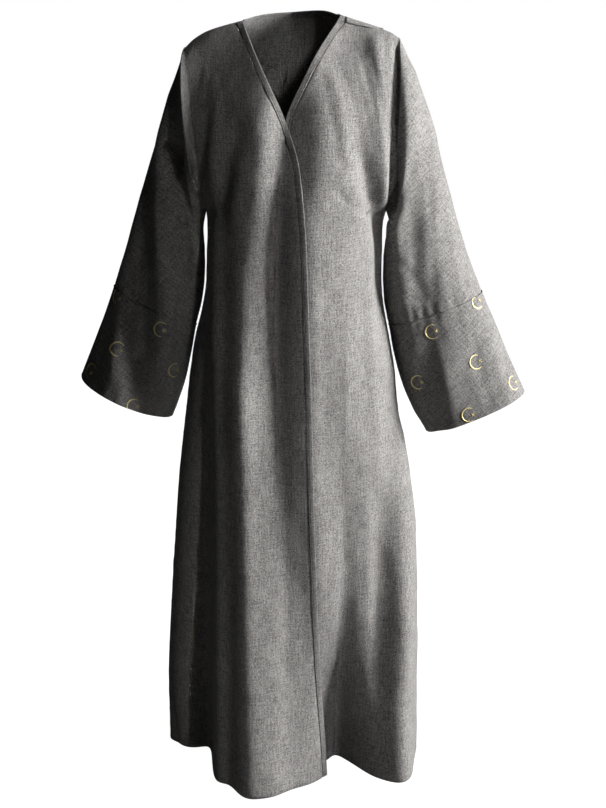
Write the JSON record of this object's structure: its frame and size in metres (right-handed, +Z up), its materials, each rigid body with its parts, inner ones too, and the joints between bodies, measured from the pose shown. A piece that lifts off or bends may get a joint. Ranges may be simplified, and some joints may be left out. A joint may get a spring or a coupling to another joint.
{
  "type": "open-front abaya",
  "caption": "Long open-front robe of charcoal melange cloth in a kimono cut, with wide sleeves, embroidered cuff panels and narrow edge bands, filled out as worn.",
  "frame": {"origin": "midway between the two points where the shoulder seams meet the neck, where the wearer's shoulders carry the garment", "axes": "+X to the wearer's left, +Y to the wearer's back, +Z up; the open front faces -Y"},
  "size_m": [0.8504, 0.3908, 1.4673],
  "materials": {
    "melange_cloth": "matt slubby charcoal and grey melange weave",
    "cuff_cloth": "the same melange weave, with gold thread embroidery",
    "edge_band": "the same melange weave, folded and edge stitched"
  },
  "bodies": {
    "root": {"front_right": "melange_cloth", "front_left": "melange_cloth", "back": "melange_cloth", "cuff_right": "cuff_cloth", "cuff_left": "cuff_cloth", "front_band_right": "edge_band", "front_band_left": "edge_band", "neck_band": "edge_band"}
  },
  "joints": []
}
